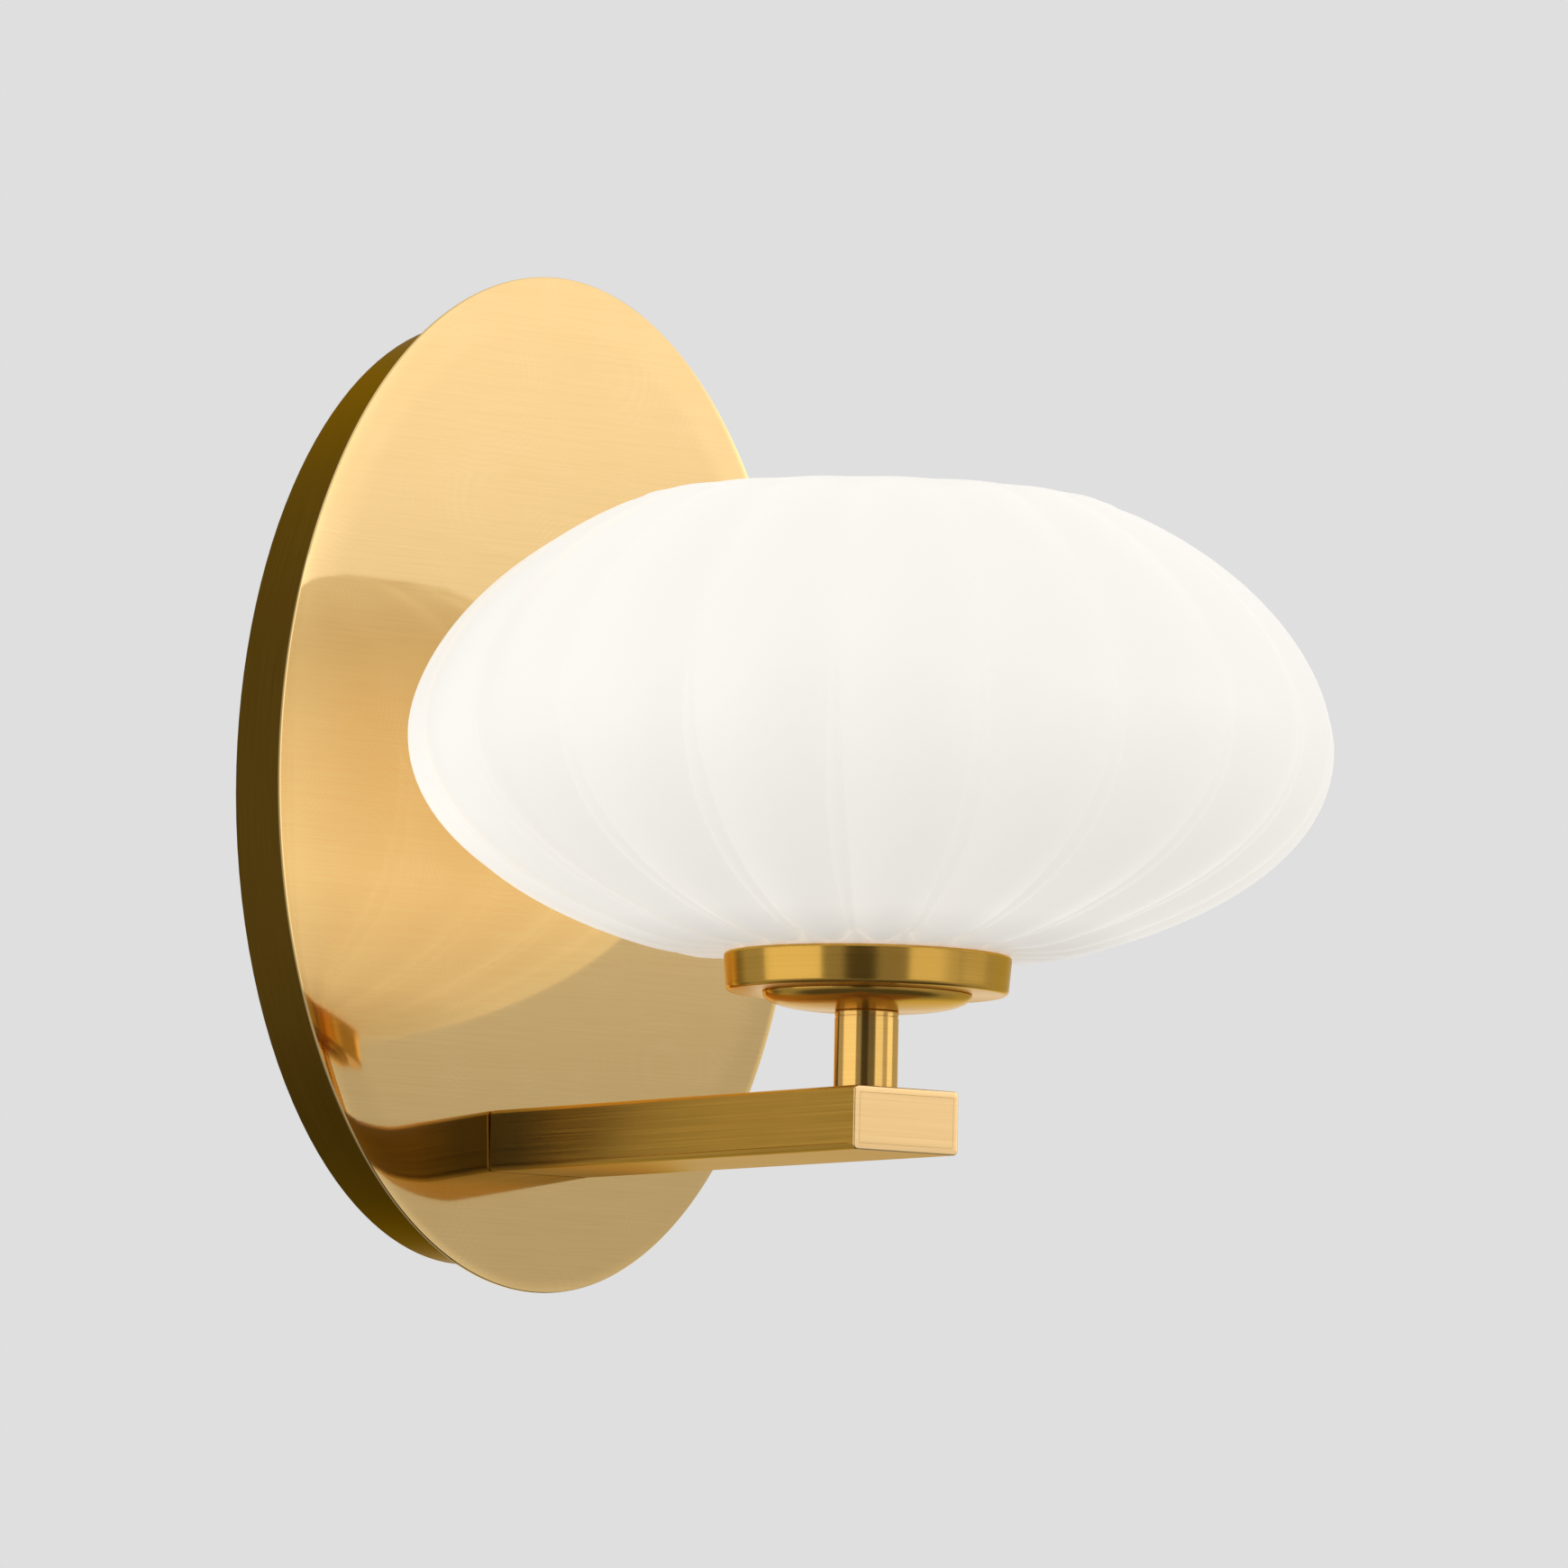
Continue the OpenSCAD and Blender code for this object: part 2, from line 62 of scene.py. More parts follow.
# %% Camera
def stand_camera(place, turn, rise, roll, lens):
    """A camera at place; turn is about the vertical, rise is upward, in degrees."""
    turn, rise, roll = (math.radians(a) for a in (turn, -rise, roll))
    back = Vector((math.sin(turn) * math.cos(rise),
                   -math.cos(turn) * math.cos(rise),
                   math.sin(rise)))
    level = Vector((math.cos(turn), math.sin(turn), 0))
    upright = back.cross(level)
    right = math.cos(roll) * level + math.sin(roll) * upright
    up = -math.sin(roll) * level + math.cos(roll) * upright
    data = bpy.data.cameras.new("camera")
    data.lens = lens
    data.sensor_width = data.sensor_height = 36
    camera = bpy.data.objects.new("camera", data)
    camera.matrix_world = Matrix((
        (right.x, up.x, back.x, place[0]),
        (right.y, up.y, back.y, place[1]),
        (right.z, up.z, back.z, place[2]),
        (0, 0, 0, 1)))
    bpy.context.scene.collection.objects.link(camera)
    bpy.context.scene.camera = camera
    return camera


CAMERA_PLACE = (-1.17179, -1.68505, -0.20903)
LAMP_MIDDLE = (0, -0.1, 0)
camera = stand_camera(CAMERA_PLACE, turn=-36.834, rise=5.910, roll=1.151, lens=203.07)
print("camera to lamp:", round((camera.location - Vector(LAMP_MIDDLE)).length, 3), "m")

# %% [markdown]
# ## Helpers for meshes
#
# Two small helpers are used all through the file. The first makes a mesh object from points
# and faces, turns its faces outward and shades it smooth, apart from edges sharper than 32
# degrees. The second lists the faces of a skin that is made of rows of points.

# %% Mesh helper
SHARP_FROM = 32     # degrees between two faces


def solid(name, points, faces):
    """A smooth piece with its faces turned outward and its sharp edges kept sharp."""
    mesh = bpy.data.meshes.new(name)
    mesh.from_pydata(points, [], faces)
    if len(faces) > 1:
        outward = bmesh.new()
        outward.from_mesh(mesh)
        bmesh.ops.recalc_face_normals(outward, faces=outward.faces)
        outward.to_mesh(mesh)
        outward.free()
    mesh.update()
    for polygon in mesh.polygons:
        polygon.use_smooth = True
    mesh.set_sharp_from_angle(angle=math.radians(SHARP_FROM))
    piece = bpy.data.objects.new(name, mesh)
    bpy.context.scene.collection.objects.link(piece)
    return piece


def closed_skin(rows, around):
    """Faces that join rows of points, each closed on itself, and the last row to the first."""
    faces = []
    for i in range(rows):
        j = (i + 1) % rows
        for k in range(around):
            l = (k + 1) % around
            faces.append((i * around + k, i * around + l, j * around + l, j * around + k))
    return faces


# %% [markdown]
# ## Helpers for materials
#
# These add shader nodes and plug their inputs in one line, so that a finish reads like a
# recipe. All lengths are in metres, so a noise of scale 100 has spots about a centimetre wide.

# %% Node helpers
def node(tree, kind, settings=(), **inputs):
    """Adds a node. Inputs are given by name, with _ for a space, or as in_0, in_1 by place."""
    made = tree.nodes.new("ShaderNode" + kind)
    for key, value in dict(settings).items():
        setattr(made, key, value)
    for key, value in inputs.items():
        place = int(key[3:]) if key.startswith("in_") else key.replace("_", " ")
        if isinstance(value, bpy.types.NodeSocket):
            tree.links.new(value, made.inputs[place])
        else:
            made.inputs[place].default_value = value
    return made


def number(tree, operation, *values):
    """A sum on numbers: its inputs are given in order."""
    inputs = {f"in_{k}": value for k, value in enumerate(values)}
    return node(tree, "Math", {"operation": operation}, **inputs).outputs[0]


def arrow(tree, operation, *values, out=0):
    """A sum on vectors: its inputs are given in order, out names the result."""
    inputs = {f"in_{k}": value for k, value in enumerate(values)}
    return node(tree, "VectorMath", {"operation": operation}, **inputs).outputs[out]


def finish(name, **sockets):
    """A new material with one Principled shader, ready for its recipe."""
    material = bpy.data.materials.new(name)
    material.use_nodes = True
    tree = material.node_tree
    tree.nodes.clear()
    shader = node(tree, "BsdfPrincipled", **sockets)
    node(tree, "OutputMaterial", Surface=shader.outputs[0])
    return material, tree, shader


def plug(tree, output, socket):
    """Joins a node's output to a shader's socket."""
    tree.links.new(output, socket)


def where(tree, stretch=(1, 1, 1)):
    """The point's own place on the piece, in metres, stretched to run marks one way."""
    place = node(tree, "TexCoord").outputs["Object"]
    return node(tree, "Mapping", Vector=place, Scale=stretch).outputs[0]


def place_on_piece(tree):
    """The point's own X, Y and Z on the piece, as three numbers by name."""
    return node(tree, "SeparateXYZ", Vector=where(tree)).outputs


def specks(tree, vector, scale, detail=2.0, rough=0.5):
    """A noise between 0 and 1, mostly between 0.3 and 0.7; scale is in spots per metre."""
    return node(tree, "TexNoise", Vector=vector, Scale=scale, Detail=detail,
                Roughness=rough).outputs[0]


def between(tree, factor, low, high, start=0.3, stop=0.7):
    """low up to start, high from stop on, and a straight run between them."""
    return node(tree, "MapRange", Value=factor, From_Min=start, From_Max=stop,
                To_Min=low, To_Max=high).outputs[0]


def soft_step(tree, value, start, stop):
    """0 before start, 1 after stop, and a soft run between them."""
    return node(tree, "MapRange", {"interpolation_type": "SMOOTHSTEP"}, Value=value,
                From_Min=start, From_Max=stop).outputs[0]


def blend_colors(tree, factor, one, other):
    """one where the factor is 0, other where it is 1; each is a colour or a node's output."""
    mixed = node(tree, "Mix", {"data_type": "RGBA"}, Factor=factor)
    for place, color in ((6, one), (7, other)):
        if isinstance(color, bpy.types.NodeSocket):
            plug(tree, color, mixed.inputs[place])
        else:
            mixed.inputs[place].default_value = (*color, 1)
    return mixed.outputs[2]


def ripple(tree, height, depth, strength=1.0):
    """A bump node: depth is in metres."""
    return node(tree, "Bump", Height=height, Strength=strength, Distance=depth).outputs[0]


# %% [markdown]
# ## Floor
#
# The floor is a plain pale plane well below the lamp. It keeps the lamp's shadow. To the
# camera it also looks a little paler than it is lit, so that views from above have the same
# pale ground as the photo. Mirrors don't see it: what the brass reflects is set below.

# %% Floor
FLOOR_LIFT = 0.38       # added for the camera only; 1 would be white


def lay_floor(height, reach):
    """A square floor, twice reach across, that mirrors don't see and the export leaves out."""
    corners = [(x * reach, y * reach, height) for x, y in ((-1, -1), (1, -1), (1, 1), (-1, 1))]
    floor = solid("floor", corners, [(0, 1, 2, 3)])
    material, tree, shader = finish("pale_floor", Roughness=0.9, Specular_IOR_Level=0.1,
                                    Emission_Color=(1, 1, 1, 1))
    seen = node(tree, "LightPath").outputs["Is Camera Ray"]
    plug(tree, number(tree, "MULTIPLY", seen, FLOOR_LIFT), shader.inputs["Emission Strength"])
    cloud = specks(tree, where(tree), 3.0)
    tone = blend_colors(tree, cloud, (0.74, 0.74, 0.74), (0.78, 0.78, 0.78))
    plug(tree, tone, shader.inputs["Base Color"])
    floor.data.materials.append(material)
    floor.visible_glossy = False
    return floor


floor = lay_floor(height=-1.3, reach=20)
print("floor at", round(floor.data.vertices[0].co.z, 2), "m, kept out of the export")

# %% [markdown]
# ## Background and studio
#
# The camera, and rays that pass through glass, see one flat pale grey. Matt surfaces get an
# even fill. Mirrors see a studio: the same grey, with grey and dark cards hung before it.
# Brass is only as good as what it reflects, so these cards draw the dark and golden stripes
# on the round pieces. Where each card hangs was worked out from the direction in which the
# stripe's place on the cup, the stem or the arm mirrors. A card has a bearing (degrees from
# straight ahead of the lamp, + to the right) and a rise (the sine of the angle above level).

# %% Studio cards
BACKGROUND = 0.738      # the photo's pale grey
FILL = 0.40             # what matt surfaces get from all round
RISE_SOFT = 0.08        # half the soft edge above and below a card, as a sine
ALL_ROUND = 360
# name, bearing, degrees wide each way, soft edge, lowest and highest rise, grey
CARDS = [
    ("overhead", 0, ALL_ROUND, 8, 0.45, 1.5, 0.90),
    ("low down", 0, ALL_ROUND, 8, -0.80, -0.25, 0.42),
    ("underfoot", 0, ALL_ROUND, 8, -1.5, -0.72, 0.05),
    ("right", 82, 54, 4, -0.5, 0.45, 0.56),
    ("beside", 59, 13, 4, 0.06, 0.42, 2.00),
    ("between", 35, 6, 3, -0.22, -0.05, 0.95),
    ("front right low", 13.5, 17.5, 4, -0.22, -0.05, 1.25),
    ("front right high", 10, 14, 3, -0.03, 0.14, 1.30),
    ("behind right", 150, 22, 8, -0.60, 0.02, 0.95),
    ("left back", -146, 18, 10, -0.3, 0.40, 0.48),
    ("behind", 178, 22, 8, -0.5, 0.50, 0.14),
    ("dim front", -39, 35, 3, -0.6, 0.60, 0.36),
    ("photographer", -43, 12, 5, -0.6, 0.60, 0.02),
    ("dark front", -26, 18, 4, 0.06, 0.60, 0.01),
]


def hang_world(cards):
    """Puts the background, the fill and the cards into the world's shader."""
    world = bpy.data.worlds.new("studio")
    bpy.context.scene.world = world
    world.use_nodes = True
    tree = world.node_tree
    tree.nodes.clear()
    ray = node(tree, "TexCoord").outputs["Generated"]
    level = arrow(tree, "NORMALIZE", arrow(tree, "MULTIPLY", ray, (1, 1, 0)))
    rise = node(tree, "SeparateXYZ", Vector=ray).outputs["Z"]
    light = (BACKGROUND,) * 3
    for name, bearing, wide, soft, low, high, grey in cards:
        above = soft_step(tree, rise, low - RISE_SOFT, low + RISE_SOFT)
        below = soft_step(tree, rise, high + RISE_SOFT, high - RISE_SOFT)
        card = number(tree, "MULTIPLY", above, below)
        if wide < ALL_ROUND:
            a = math.radians(bearing)
            facing = arrow(tree, "DOT_PRODUCT", level, (math.sin(a), -math.cos(a), 0), out="Value")
            inside = soft_step(tree, facing, math.cos(math.radians(wide + soft)),
                               math.cos(math.radians(wide - soft)))
            card = number(tree, "MULTIPLY", card, inside)
        light = blend_colors(tree, card, light, (grey,) * 3)
    seen = node(tree, "LightPath").outputs
    straight = number(tree, "MAXIMUM", seen["Is Camera Ray"], seen["Is Transmission Ray"])
    light = blend_colors(tree, seen["Is Glossy Ray"], (FILL,) * 3, light)
    color = blend_colors(tree, straight, light, (BACKGROUND,) * 3)
    back = node(tree, "Background", Color=color, Strength=1.0)
    node(tree, "OutputWorld", Surface=back.outputs[0])


hang_world(CARDS)
print("studio cards:", len(CARDS), "background:", BACKGROUND, "fill:", FILL)

# %% [markdown]
# ## Two soft boxes
#
# One soft box stands on the left and lights the glass and the arm's side. The other stands
# in front on the right, where the plate mirrors it. Its lower part is dark: that is why the
# plate is pale at its top and deeper in tone lower down. It is a touch blue, which takes
# some of the yellow out of the pale brass.

# %% Soft boxes
def soft_lamp(name, place, wide, tall, glow, color=(1, 1, 1), grade=None):
    """A soft box turned to the lamp's middle, wide and tall in metres; glow is its brightness.

    grade holds two heights in metres: the box is dark below the first and full above the
    second.
    """
    data = bpy.data.lights.new(name, "AREA")
    data.shape = "RECTANGLE"
    data.size, data.size_y = wide, tall
    data.energy = glow * math.pi * wide * tall
    data.color = color
    lamp = bpy.data.objects.new(name, data)
    lamp.location = place
    lamp.rotation_euler = (Vector(LAMP_MIDDLE) - place).to_track_quat("-Z", "Y").to_euler()
    lamp.visible_camera = False
    bpy.context.scene.collection.objects.link(lamp)
    if grade:
        data.use_nodes = True
        tree = data.node_tree
        place = node(tree, "NewGeometry").outputs["Position"]
        height = node(tree, "SeparateXYZ", Vector=place).outputs["Z"]
        plug(tree, soft_step(tree, height, *grade), tree.nodes["Emission"].inputs["Strength"])
    print(name, "at", [round(v, 2) for v in lamp.location], "size", (wide, tall), "m")
    return lamp


def stand_off(bearing, rise, away):
    """The place away metres from the lamp's middle, at a bearing and a rise in degrees."""
    a, b = math.radians(bearing), math.radians(rise)
    way = Vector((math.sin(a) * math.cos(b), -math.cos(a) * math.cos(b), math.sin(b)))
    return Vector(LAMP_MIDDLE) + away * way


soft_lamp("left_soft_box", stand_off(bearing=-100, rise=4, away=1.6),
          wide=1.63, tall=1.56, glow=0.62)
soft_lamp("front_soft_box", stand_off(bearing=24, rise=4, away=1.4),
          wide=1.55, tall=1.55, glow=0.66, color=(1.0, 1.0, 1.15), grade=(0.07, 0.26))

# %% [markdown]
# ## Brass
#
# All the brass is lacquered and satin brushed, but each piece was brushed its own way. The
# face was brushed by an orbiting pad, so it has faint arcs and stays almost a mirror. The
# arm was drawn past a belt, so its scratches run along it. The turned pieces were brushed on
# the lathe, so theirs run round. Scratches spread a reflection across themselves, which an
# anisotropic shader does: its tangent is the way in which the reflection spreads. It is worked
# out from the surface's own direction and the direction of the scratches.
#
# Two tones, mixed by fine lines and soft clouds, give the colour. The edge colour is what the
# metal turns to where it is seen at a glancing angle. Near the plate the arm is painted darker
# and greener: this is painted shade.

# %% Brass
AXIS_Y = -0.1525        # the upright axis of stem, cup and glass
UP, ALONG_ARM = (0, 0, 1), (0, 1, 0)
ARC_CENTRES, ARC_RINGS, ARC_TONE = 24.0, 210.0, (1.0, 0.80, 0.45)


def brushed_arcs(tree, tone, strength):
    """Faint arcs about scattered centres, as a round pad leaves them on a flat face."""
    flat = where(tree, (1, 0, 1))
    centre = node(tree, "TexVoronoi", Vector=flat, Scale=ARC_CENTRES).outputs["Distance"]
    arcs = number(tree, "SINE", number(tree, "MULTIPLY", centre, ARC_RINGS))
    seen = between(tree, specks(tree, flat, 60.0), 0.0, strength, 0.45, 0.7)
    return blend_colors(tree, number(tree, "MULTIPLY_ADD", arcs, seen, seen), tone, ARC_TONE)


def spread_direction(tree, marks):
    """The way in which reflections spread, for marks that run round, along the arm, or across."""
    facing = node(tree, "NewGeometry").outputs["Normal"]
    if marks == "turned":
        place = node(tree, "TexCoord").outputs["Object"]
        run = arrow(tree, "CROSS_PRODUCT", arrow(tree, "SUBTRACT", place, (0, AXIS_Y, 0)), UP)
        return arrow(tree, "CROSS_PRODUCT", run, facing)
    if marks == "drawn":
        return arrow(tree, "CROSS_PRODUCT", facing, ALONG_ARM)
    return node(tree, "CombineXYZ", X=UP[0], Y=UP[1], Z=UP[2]).outputs[0]


def brass(name, deep, pale, marks, roughness, anisotropy, grain, depth, coat=0.0, metal=0.85,
          edge=(1.0, 0.84, 0.48, 1), arcs=0.0, root_shade=None):
    """deep and pale are the two tones; grain is how often the lines change along x, y and z.

    root_shade holds two places along the arm, and the painted shade tone that it has from the
    second one back.
    """
    material, tree, shader = finish(name, Metallic=metal, Anisotropic=anisotropy,
                                    Specular_Tint=edge, Specular_IOR_Level=0.0,
                                    Coat_Weight=coat, Coat_Roughness=0.12, Coat_IOR=1.9)
    lines = specks(tree, where(tree, grain), 1.0, 3.0, 0.6)
    cloud = specks(tree, where(tree), 28.0, 3.0)
    tone = blend_colors(tree, between(tree, lines, 0, 1, 0.25, 0.75), deep, pale)
    tone = blend_colors(tree, between(tree, cloud, 0.0, 0.35, 0.4, 0.7), tone, pale)
    if arcs:
        tone = brushed_arcs(tree, tone, arcs)
    # painted shade: the arm's tone turns darker and greener towards the plate
    if root_shade:
        start, stop, dark = root_shade
        near = between(tree, place_on_piece(tree)["Y"], 0.0, 1.0, start, stop)
        tone = blend_colors(tree, near, tone, dark)
    plug(tree, tone, shader.inputs["Base Color"])
    rough = between(tree, lines, roughness * 0.85, roughness * 1.2, 0.25, 0.75)
    plug(tree, rough, shader.inputs["Roughness"])
    plug(tree, ripple(tree, lines, depth), shader.inputs["Normal"])
    if marks:
        plug(tree, spread_direction(tree, marks), shader.inputs["Tangent"])
    return material

# %% [markdown]
# ## The six brass finishes
#
# Each is the same recipe with its own tones, gloss and grain. The face is nearly a mirror, with
# a thin coat. The arm is the most matt. Its cut end is painted paler, as painted light where
# light falls on it straight, and it is coated most. The pan behind the face is painted a very
# dark tone, as painted shade.

# %% Brass finishes
face_brass = brass("face_brushed_brass", (0.79, 0.53, 0.20), (0.85, 0.58, 0.23), "across",
                   0.045, 0.4, (40, 40, 2600), 1e-7, coat=0.3, metal=1.0, arcs=0.04)
arm_brass = brass("arm_drawn_brass", (0.50, 0.280, 0.045), (0.74, 0.425, 0.080), "drawn",
                  0.36, 0.6, (900, 14, 2600), 4e-7, metal=0.92, edge=(1.0, 0.80, 0.40, 1),
                  root_shade=(-0.060, -0.041, (0.34, 0.235, 0.07)))
# the end's pale tones are painted light, where light falls on it straight
end_painted_light_brass = brass("arm_end_brass", (0.94, 0.60, 0.22), (1.0, 0.67, 0.28), "across",
                  0.33, 0.2, (14, 900, 2600), 4e-7, coat=1.0, metal=1.0)
stem_brass = brass("stem_turned_brass", (0.73, 0.43, 0.09), (0.83, 0.50, 0.12), "turned",
                   0.12, 0.8, (10, 10, 2600), 1e-7, coat=0.3, edge=(1.0, 0.78, 0.40, 1))
cup_brass = brass("cup_turned_brass", (0.58, 0.335, 0.060), (0.67, 0.39, 0.078), "turned",
                  0.19, 0.8, (10, 10, 2600), 1e-7, edge=(1.0, 0.80, 0.42, 1))
# the pan's nearly black tones are painted shade
pan_painted_shade_brass = brass("pan_edge_painted_shade_brass", (0.118, 0.066, 0.012), (0.165, 0.093, 0.017), None,
                  0.32, 0.3, (30, 2600, 30), 2e-7, metal=1.0, edge=(1.0, 0.72, 0.36, 1))
for made in (face_brass, arm_brass, end_painted_light_brass, stem_brass, cup_brass, pan_painted_shade_brass):
    print("brass finish:", made.name, len(made.node_tree.nodes), "nodes")

# %% [markdown]
# ## Opal glass
#
# The shade is white glass with a satin etched skin. Light that falls on such glass wanders
# inside it and comes out elsewhere, so its shadows are weak. A slight subsurface scattering
# and a faint, warm glow of the skin stand in for that; the glow is painted light, since the
# glass is no lamp. It is painted shade where the glow is less: at the foot, which sits in the
# cup, high on the back, and on the inside. It is painted light in a band low on the back, where
# the bright plate throws its light on the glass.

# %% Opal glass
# the glow is painted light, since the glass is no lamp: its colour, and what is left of it inside,
# as painted shade
GLOW, PAINTED_LIGHT_INSIDE = (1.0, 0.965, 0.89), 0.35    # its colour, and what is left of it inside
BACK_FROM_AXIS = 0.08       # from here on, behind the axis, the glass is all back
# the painted glow at a lower height and at an upper height, and these two heights in metres; it is
# less at the foot, as painted shade
FOOT_PAINTED_SHADE = (0.55, 1.0, -0.051, -0.041)
# the same for what is added to it on the back: painted light in a band low on the back, painted
# shade above and below it
UPPER_BACK_PAINTED_LIGHT_AND_SHADE, LOWER_BACK_PAINTED_SHADE = (0.45, -0.38, -0.02, 0.035), (-0.40, 0.0, -0.045, -0.022)


def painted_glass_light(tree):
    """How much the skin glows with painted light, by the place on the glass: 1 on its front."""
    place = place_on_piece(tree)
    foot = between(tree, place["Z"], *FOOT_PAINTED_SHADE)
    back = between(tree, place["Y"], 0.0, 1.0, AXIS_Y, AXIS_Y + BACK_FROM_AXIS)
    upper, lower = (between(tree, place["Z"], *part) for part in (UPPER_BACK_PAINTED_LIGHT_AND_SHADE, LOWER_BACK_PAINTED_SHADE))
    change = number(tree, "ADD", upper, lower)
    part = number(tree, "MULTIPLY_ADD", change, back, 1.0)
    part = number(tree, "MULTIPLY", part, foot)
    away = arrow(tree, "SUBTRACT", where(tree), (0, AXIS_Y, 0))
    facing = node(tree, "NewGeometry").outputs["Normal"]
    outward = arrow(tree, "DOT_PRODUCT", away, facing, out="Value")
    outside = between(tree, outward, PAINTED_LIGHT_INSIDE, 1.0, -0.01, 0.01)
    return number(tree, "MULTIPLY", part, outside)


def opal_glass(name):
    """Satin white glass: a matt skin, very slightly soft inside, with the painted glow added to it.
    """
    # the emission is painted light: the glass glows though it is no lamp
    material, tree, shader = finish(name, Roughness=0.42, Subsurface_Weight=0.05,
                                    Subsurface_Scale=0.003, Subsurface_Radius=(1.0, 1.0, 1.0),
                                    IOR=1.5, Specular_IOR_Level=0.3, Emission_Strength=0.47)
    cloud = specks(tree, where(tree), 14.0, 2.0)
    tone = blend_colors(tree, cloud, (0.93, 0.905, 0.855), (0.95, 0.925, 0.880))
    plug(tree, tone, shader.inputs["Base Color"])
    glow = node(tree, "VectorMath", {"operation": "SCALE"}, in_0=GLOW, Scale=painted_glass_light(tree))
    plug(tree, glow.outputs[0], shader.inputs["Emission Color"])
    etched = specks(tree, where(tree), 2500.0, 2.0)
    plug(tree, ripple(tree, etched, 2e-6, strength=0.5), shader.inputs["Normal"])
    return material


opal = opal_glass("opal_satin_glass")
print("glass finish:", opal.name, len(opal.node_tree.nodes), "nodes")

# %% [markdown]
# ## The fluted shade
#
# The shade is one blown piece: a flattened ball with an open mouth, a narrow foot with a hole
# for the lamp holder, and twenty lobes that meet in narrow, softly rounded valleys. It is
# blown into a ribbed mould, the mouth is cut and fire polished, and the whole is etched. The
# CAD node holds the same form in flat facets. Here the same outline is turned in finer steps.
# The outline runs from the hole up the outside, over the rounded lip and down the inside. Each
# of its points has a radius, a height and its own share of the valley depth, so that foot and
# lip stay round.

# %% Shade outline
# how many lobes, where the first valley is, how deep the valleys are, how round at the bottom
LOBES, TURN, VALLEY, SOFT_VALLEY = 20, math.radians(12), 0.002, 0.2
# the widest line's height and radius, and the thickness of the glass
WIDE_Z, WIDE_R, WALL = 0.0005, 0.1018, 0.0032
# how deep the lower curve would go on its own; the mouth, the lip's width and its top
LOW_OUT, MOUTH_R, LIP_W, LIP_Z = 0.0522, 0.052, 0.0022, 0.0519
# the foot: its underside and its seat on the cup, then the radii of its neck, hole, flat and
# of the cup line, where the lower curve ends
BASE_Z, SEAT_Z, NECK_R, HOLE_R, FLAT_R, CUP_R = -0.0520, -0.0463, 0.0290, 0.0145, 0.020, 0.033
# how full the curve is below and above the widest line, as powers for radius and height
LOW_POWERS, TOP_POWERS = (1.076, 0.942), (0.949, 1.153)
LOW_END = math.acos((CUP_R / WIDE_R) ** (1 / LOW_POWERS[0]))
TOP_END = math.acos(((MOUTH_R + LIP_W) / WIDE_R) ** (1 / TOP_POWERS[0]))
TOP_OUT = 0.0514 / math.sin(TOP_END) ** TOP_POWERS[1] - 0.0006
OUT_ROWS, IN_ROWS = 30, 18      # points on each curve, outside and inside


def low_at(t, shrink=0.0):
    """Radius and height below the widest line; t is 0 there and LOW_END at the cup."""
    return ((WIDE_R - shrink) * math.cos(t) ** LOW_POWERS[0],
            WIDE_Z - (LOW_OUT - shrink) * math.sin(t) ** LOW_POWERS[1])


def top_at(t, shrink=0.0):
    """Radius and height above the widest line; t is 0 there and TOP_END at the lip."""
    return ((WIDE_R - shrink) * math.cos(t) ** TOP_POWERS[0],
            WIDE_Z + (TOP_OUT - shrink) * math.sin(t) ** TOP_POWERS[1])


def settled(z, soft=0.0005):
    """The underside levels out softly where it rests on the cup."""
    return SEAT_Z + soft * math.log(1 + math.exp((z - SEAT_Z) / soft))


def shade_outline():
    """Radius, height and share of the valley depth, from the hole round to the hole."""
    foot = [(HOLE_R, BASE_Z, 0), (FLAT_R, BASE_Z, 0), (NECK_R - 0.0034, BASE_Z, 0),
            (NECK_R - 0.0018, BASE_Z + 0.0004, 0.05), (NECK_R - 0.0006, BASE_Z + 0.0016, 0.1),
            (NECK_R, BASE_Z + 0.0044, 0.2), (NECK_R + 0.0017, SEAT_Z, 0.75)]
    out = []
    for k in range(OUT_ROWS):
        r, z = low_at(LOW_END * (1 - k / OUT_ROWS))
        out.append((r, settled(z), 1 - 0.1 * k / OUT_ROWS))
    for k in range(OUT_ROWS):
        r, z = top_at(TOP_END * k / (OUT_ROWS * 1.02))
        out.append((r, z, 0.9 - 0.45 * k / OUT_ROWS))
    lip = [(MOUTH_R + 0.0020, LIP_Z - 0.0006, 0.35), (MOUTH_R + 0.0015, LIP_Z - 0.0002, 0.25),
           (MOUTH_R + 0.0010, LIP_Z, 0.1), (MOUTH_R + 0.0004, LIP_Z - 0.0004, 0.05),
           (MOUTH_R, LIP_Z - 0.0011, 0), (MOUTH_R + 0.0002, LIP_Z - 0.0020, 0.1),
           (MOUTH_R + 0.0009, LIP_Z - 0.0028, 0.2)]
    into = [(*top_at(TOP_END * k / (IN_ROWS + 2), WALL), 0.8) for k in range(IN_ROWS, -1, -1)]
    for k in range(1, IN_ROWS + 1):
        r, z = low_at(LOW_END * k / (IN_ROWS + 0.5), WALL)
        into.append((r, settled(z - WALL) + WALL, 0.8))
    into += [(NECK_R - 0.0036, BASE_Z + WALL, 0.1), (FLAT_R, BASE_Z + WALL, 0),
             (HOLE_R, BASE_Z + WALL, 0)]
    return foot + out + lip + into


def valley_share(a):
    """1 at the bottom of a valley and 0 on a crest, rounded at the bottom."""
    low, high = SOFT_VALLEY, math.hypot(1, SOFT_VALLEY)
    return 1 - (math.hypot(math.sin(LOBES * (a - TURN) / 2), SOFT_VALLEY) - low) / (high - low)


